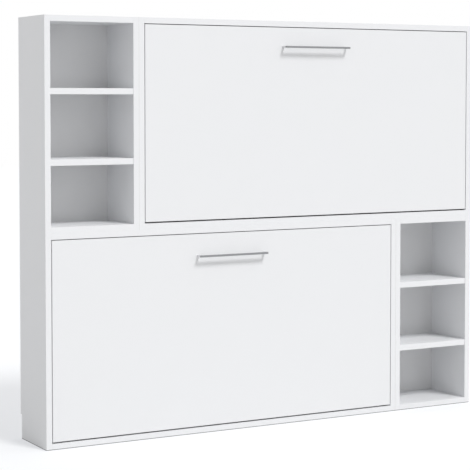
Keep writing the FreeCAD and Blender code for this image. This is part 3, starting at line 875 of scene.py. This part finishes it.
for bed in BEDS:
    for end, hand in ENDS.items():
        low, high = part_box(f"{bed}_{end}_pivot_bracket")
        face = high.x - STRAP_THICKNESS if hand > 0 else low.x + STRAP_THICKNESS
        shape = bmesh.new()
        for up in STRAP_BOLT_HEIGHTS:
            spot = Vector((face, pivot[bed].y + STRAP_MIDDLE * MM, pivot[bed].z + up * MM))
            add_bolt(shape, spot, Vector((-hand, 0, 0)), STRAP_BOLT_RADIUS, STRAP_BOLT_HEIGHT)
        add_piece(f"{bed}_{end}_bracket_bolts", shape, f"{bed}_leaf", "zinc_steel")
print("bracket bolts", len(STRAP_BOLT_HEIGHTS) * len(BEDS) * len(ENDS))

# %% [markdown]
# ## Caps and rings of the gas struts
# A pressed cap on the end of each strut stud keeps the strut's eye from sliding off. Half a ball
# would be the quick form. Five rings give the flat rim and the low dome of a pressed cap. It sits
# on the stud and stays still while the eye turns behind it.

# %% Strut stud caps
EYE_HALF_WIDTH = 4 * MM
STUD_CLEARANCE = 0.3 * MM
STUD_CAP_RINGS = ((0, 6.0), (0.0, 7.4), (0.7, 7.4), (1.4, 6.4), (1.9, 3.6))

for bed in BEDS:
    shape = bmesh.new()
    for end, hand in ENDS.items():
        stud = joint_place[f"{bed}_{end}_strut_rock"]
        spot = stud + Vector((hand * (EYE_HALF_WIDTH + STUD_CLEARANCE), 0, 0))
        add_turned(shape, spot, Vector((hand, 0, 0)), in_mm(STUD_CAP_RINGS))
    add_piece(f"{bed}_stud_caps", shape, "cabinet", "zinc_steel")
print("stud caps", len(BEDS) * len(ENDS))

# %% [markdown]
# The strut's tube is closed by a ring that wipes the rod clean as it goes in. A torus would be
# round all over, but the real ring has a flat collar and a thin lip, so it is turned too. The slide
# joint's axis points from the rod's end to the stud, so the ring lies the other way from the stud,
# on the mouth of the tube.

# %% Strut wiper rings
TUBE_MOUTH = 148 * MM
WIPER_RINGS = ((0, 9.0), (1.2, 9.0), (2.0, 8.2), (2.0, 6.6), (2.8, 6.0), (2.8, 5.3), (1.5, 5.2))

slide_axis = {joint["name"]: Vector(joint["axis"]) for joint in joints if joint["type"] == "slide"}


def strut_line(bed, end):
    """The stud of a strut, and the direction from it towards the rod's end."""
    stud = joint_place[f"{bed}_{end}_strut_rock"]
    return stud, -slide_axis[f"{bed}_{end}_rod_slide"].normalized()


for bed in BEDS:
    for end in ENDS:
        stud, down = strut_line(bed, end)
        shape = bmesh.new()
        add_turned(shape, stud + down * TUBE_MOUTH, down, in_mm(WIPER_RINGS))
        add_piece(f"{bed}_{end}_strut_wiper", shape, f"{bed}_{end}_cylinder", "cap_plastic")
print("wiper rings", len(slide_axis))

# %% [markdown]
# The block at the rod's end turns on a short stud of the lever, and a pressed cap keeps it there.
# It is the same bought cap as above, so its rings are used again. It lies on the block's outer
# face, a strut's length from the upper stud, and goes with the rod.

# %% Rod caps
STRUT_LENGTH = 274.238 * MM

for bed in BEDS:
    for end, hand in ENDS.items():
        stud, down = strut_line(bed, end)
        outward = Vector((-hand, 0, 0))
        spot = stud + down * STRUT_LENGTH + outward * EYE_HALF_WIDTH
        shape = bmesh.new()
        add_turned(shape, spot, outward, in_mm(STUD_CAP_RINGS))
        add_piece(f"{bed}_{end}_rod_cap", shape, f"{bed}_{end}_rod", "zinc_steel")
print("rod caps", len(slide_axis))

# %% [markdown]
# ## Places on a leaf
# Each front carries a frame of rectangular steel tube, and most of the small hardware sits on the
# back of those tubes. The boxes of the nodes give the tubes' faces and middles. The slats lie at an
# even pitch, so the gaps between them can be counted, and no gap has to be measured.

# %% Places on the tube frames
TUBE_WIDTH = 30 * MM
SLAT_COUNT = 14
SLAT_WIDTH = 53 * MM
BACKWARD = Vector((0, 1, 0))


def leaf_places(bed):
    """Back face, tube middles, rail seams, slat gaps and rail ends of a leaf."""
    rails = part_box(f"{bed}_long_rails")
    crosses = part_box(f"{bed}_cross_rails")
    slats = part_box(f"{bed}_slats")
    half = TUBE_WIDTH / 2
    pitch = (slats[1].x - slats[0].x - SLAT_WIDTH) / (SLAT_COUNT - 1)
    first_gap = slats[0].x + (SLAT_WIDTH + pitch) / 2
    middle_cross = (crosses[0].x + crosses[1].x) / 2
    return {
        "back": rails[1].y,
        "middle": (rails[0].y + rails[1].y) / 2,
        "rails": (rails[0].z + half, rails[1].z - half),
        "seams": (crosses[0].z, crosses[1].z),
        "crosses": (crosses[0].x + half, middle_cross, crosses[1].x - half),
        "gaps": [first_gap + pitch * step for step in range(SLAT_COUNT - 1)],
        "ends": (rails[0].x, rails[1].x),
    }


leaf = {bed: leaf_places(bed) for bed in BEDS}
first, second = leaf["upper"]["gaps"][:2]
print("gap between slats every", round(second - first, 4), "m")

# %% [markdown]
# ## Screws that hold the front to its frame
# The board of each front is screwed to the frame from behind, through the tubes. The heads lie on
# the back of the tubes, in gaps between the slats, where the mattress does not reach them. An array
# could repeat one screw at an even step, but some gaps belong to the hoops, so the gaps are listed.

# %% Frame screws
RAIL_SCREW_GAPS = (0, 2, 4, 8, 10, 12)
CROSS_SCREW_SHARES = (0.15, 0.5, 0.85)
FRAME_SCREW_RADIUS = 5 * MM
FRAME_SCREW_HEIGHT = 2.4 * MM

for bed in BEDS:
    at = leaf[bed]
    heights = [between(*at["seams"], share) for share in CROSS_SCREW_SHARES]
    spots = [(at["gaps"][gap], rail) for gap in RAIL_SCREW_GAPS for rail in at["rails"]]
    spots += [(cross_rail, height) for cross_rail in at["crosses"] for height in heights]
    shape = bmesh.new()
    for along, up in spots:
        spot = Vector((along, at["back"], up))
        add_screw(shape, spot, BACKWARD, FRAME_SCREW_RADIUS, FRAME_SCREW_HEIGHT)
    add_piece(f"{bed}_frame_screws", shape, f"{bed}_leaf", "zinc_steel")
print("frame screws", len(spots) * len(BEDS))

# %% [markdown]
# ## Screws of the handles
# A handle is held by two machine screws through the board, straight behind its posts. They have
# washers, because the heads would sink into the board without them. Washer and head could be one
# form, but the small step between them is what makes a washer visible, so they are two.

# %% Handle screws
HANDLE_POST_REACH = 192 * MM
WASHER_RINGS = ((0, 6.8), (0.2, 7.0), (1.0, 7.0), (1.2, 6.8))
WASHER_TOP = BACKWARD * 1.2 * MM
HANDLE_SCREW_RADIUS = 4 * MM
HANDLE_SCREW_HEIGHT = 2.6 * MM

for bed in BEDS:
    low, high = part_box(f"{bed}_handle")
    middle = (low + high) / 2
    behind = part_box(f"{bed}_door")[1].y
    shape = bmesh.new()
    for side in (-1, 1):
        spot = Vector((middle.x + side * HANDLE_POST_REACH, behind, middle.z))
        add_turned(shape, spot, BACKWARD, in_mm(WASHER_RINGS))
        add_screw(shape, spot + WASHER_TOP, BACKWARD, HANDLE_SCREW_RADIUS, HANDLE_SCREW_HEIGHT)
    add_piece(f"{bed}_handle_screws", shape, f"{bed}_leaf", "zinc_steel")
print("handle screws", 2 * len(BEDS))

# %% [markdown]
# ## Weld beads
# The cross rails are welded between the long rails, and short welds hold the hoops on the long
# rails. A bead is a thin rope with a ripple for every pulse of the torch. A curve with a bevel
# could give the rope, but not its ripples, so the bead is one more turned form, half sunk in the
# tube.

# %% Weld beads
BEAD_RADIUS = 2.0 * MM
BEAD_STEP = 1.6 * MM
BEAD_POINTS = 8
BEAD_RIPPLE = (0.90, 1.10)
BEAD_BLUNT = 0.03
BEAD_TAPER = 6
SEAM_BEAD = 20 * MM
CORNER_BEAD = 32 * MM
CORNERS = ((0, 1), (1, -1), (1, 1), (2, -1))
HOOP_BEAD = 13 * MM
HOOP_GAPS = (1, 3, 9, 11)
HOOP_HALF = 2.4 * MM


def add_bead(shape, place, axis, length):
    """A rippled bead of a length along an axis, with tapered ends."""
    steps = round(length / BEAD_STEP)
    rings = []
    for step in range(steps + 1):
        share = 2 * step / steps - 1
        taper = math.sqrt(max(1 - share ** BEAD_TAPER, BEAD_BLUNT))
        rings.append((share * length / 2, BEAD_RADIUS * taper * BEAD_RIPPLE[step % 2]))
    add_turned(shape, place, axis, rings, BEAD_POINTS)


for bed in BEDS:
    at = leaf[bed]
    shape = bmesh.new()
    for seam in at["seams"]:
        for cross_rail in at["crosses"]:
            add_bead(shape, Vector((cross_rail, at["back"], seam)), Vector((1, 0, 0)), SEAM_BEAD)
        for number, side in CORNERS:
            corner = at["crosses"][number] + side * TUBE_WIDTH / 2
            add_bead(shape, Vector((corner, at["middle"], seam)), BACKWARD, CORNER_BEAD)
    for gap in HOOP_GAPS:
        for rail in at["rails"]:
            for side in (-1, 1):
                foot = Vector((at["gaps"][gap] + side * HOOP_HALF, at["back"], rail))
                add_bead(shape, foot, Vector((0, 0, 1)), HOOP_BEAD)
    add_piece(f"{bed}_weld_beads", shape, f"{bed}_leaf", "frame_steel")
print("weld beads on", len(BEDS), "frames")

# %% [markdown]
# ## Plugs in the tube ends
# Open tube ends are closed by moulded plugs, with a dished middle. Their outline is a rectangle
# with rounded corners. It could be a bevelled block, but as a radius that changes with the angle it
# goes through the same helper, and the dish is only two more rings.

# %% Tube plugs
PLUG_HALF_HEIGHT = 12.9 * MM
PLUG_HALF_DEPTH = 17.9 * MM
PLUG_SQUARENESS = 9
PLUG_POINTS = 48
PLUG_RINGS = ((-12, 0.95), (-1.2, 1.0), (-0.5, 0.985), (-0.3, 0.95), (-0.3, 0.74), (-1.6, 0.70))


def plug_outline(share):
    """Radius of a rounded rectangle at an angle, shrunk to a share of the tube's bore."""
    def radius(angle):
        upward = abs(math.cos(angle)) / PLUG_HALF_HEIGHT
        inward = abs(math.sin(angle)) / PLUG_HALF_DEPTH
        corner = upward ** PLUG_SQUARENESS + inward ** PLUG_SQUARENESS
        return share * corner ** (-1 / PLUG_SQUARENESS)
    return radius


plug_rings = [(height * MM, plug_outline(share)) for height, share in PLUG_RINGS]
for bed in BEDS:
    at = leaf[bed]
    shape = bmesh.new()
    for place, side in zip(at["ends"], (-1, 1)):
        for rail in at["rails"]:
            spot = Vector((place, at["middle"], rail))
            add_turned(shape, spot, Vector((side, 0, 0)), plug_rings, PLUG_POINTS)
    add_piece(f"{bed}_tube_plugs", shape, f"{bed}_leaf", "cap_plastic")
print("tube plugs", 4 * len(BEDS))

# %% [markdown]
# ## Caps of the joining bolts
# Each bed's box is bolted to the shelf column beside it, through both walls. The bolts are reached
# from inside the bed's box, and thin white caps cover their heads. A flat disc would vanish against
# the white wall, so each cap has a rounded edge that catches the light. The caps are flatter than
# the gap that the front needs when it swings past.

# %% Joining caps
CAP_PLACES = ((70, 120), (70, 520), (70, 920), (-80, 520), (-80, 920))
CAP_RINGS = ((0, 8.6), (0.3, 9.0), (0.8, 8.8), (1.3, 7.6), (1.5, 5.0))
JOINED = {"upper": ("upper_bed_left_side", 1), "lower": ("lower_bed_right_side", -1)}

for bed, (side_board, inward) in JOINED.items():
    low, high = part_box(side_board)
    wall = high.x if inward > 0 else low.x
    shape = bmesh.new()
    for back, up in CAP_PLACES:
        spot = Vector((wall, back * MM, low.z + up * MM))
        add_turned(shape, spot, Vector((inward, 0, 0)), in_mm(CAP_RINGS))
    add_piece(f"{bed}_joining_caps", shape, "cabinet", "bush_nylon")
print("joining caps", len(CAP_PLACES) * len(JOINED))

# %% [markdown]
# ## Clips behind the back boards
# The thin backs stand between the sides and are held from behind by moulded clips, one foot on the
# back and one screwed to the side. Two blocks could be joined for a clip. An outline drawn flat and
# pulled up to its height gives both feet and the hollow between them from one list of points.

# %% Back clips
CLIP_OUTLINE = (
    (0, 0), (16, 0), (16, 1.8), (15.2, 2.6), (5.6, 2.6), (3.6, 4.6), (3, 11.2), (2.2, 12), (0, 12),
)
CLIP_HEIGHT = 24 * MM
CLIP_SHARES = (0.25, 0.55, 0.85)
CLIP_SCREW_PLACE = Vector((3, 8, 0)) * MM
CLIP_SCREW_RADIUS = 3 * MM
CLIP_SCREW_HEIGHT = 1.6 * MM


def add_clip(shape, corner, inward):
    """A clip in a corner between a side and the back, with its screw."""
    loops = []
    for lift in (-CLIP_HEIGHT / 2, CLIP_HEIGHT / 2):
        points = [Vector((inward * along * MM, back * MM, lift)) for along, back in CLIP_OUTLINE]
        loops.append([shape.verts.new(corner + point) for point in points])
    low, high = loops
    count = len(CLIP_OUTLINE)
    for step in range(count):
        after = (step + 1) % count
        shape.faces.new((low[step], low[after], high[after], high[step]))
    shape.faces.new(reversed(low))
    shape.faces.new(high)
    screw = corner + Vector((inward * CLIP_SCREW_PLACE.x, CLIP_SCREW_PLACE.y, 0))
    add_screw(shape, screw, Vector((inward, 0, 0)), CLIP_SCREW_RADIUS, CLIP_SCREW_HEIGHT)


for bed in BEDS:
    shape = bmesh.new()
    for box_name in ("bed", "column"):
        low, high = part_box(f"{bed}_{box_name}_back")
        for share in CLIP_SHARES:
            up = between(low.z, high.z, share)
            add_clip(shape, Vector((low.x, high.y, up)), 1)
            add_clip(shape, Vector((high.x, high.y, up)), -1)
    bmesh.ops.recalc_face_normals(shape, faces=shape.faces)
    add_piece(f"{bed}_back_clips", shape, "cabinet", "bush_nylon")
print("back clips", 4 * len(CLIP_SHARES) * len(BEDS))
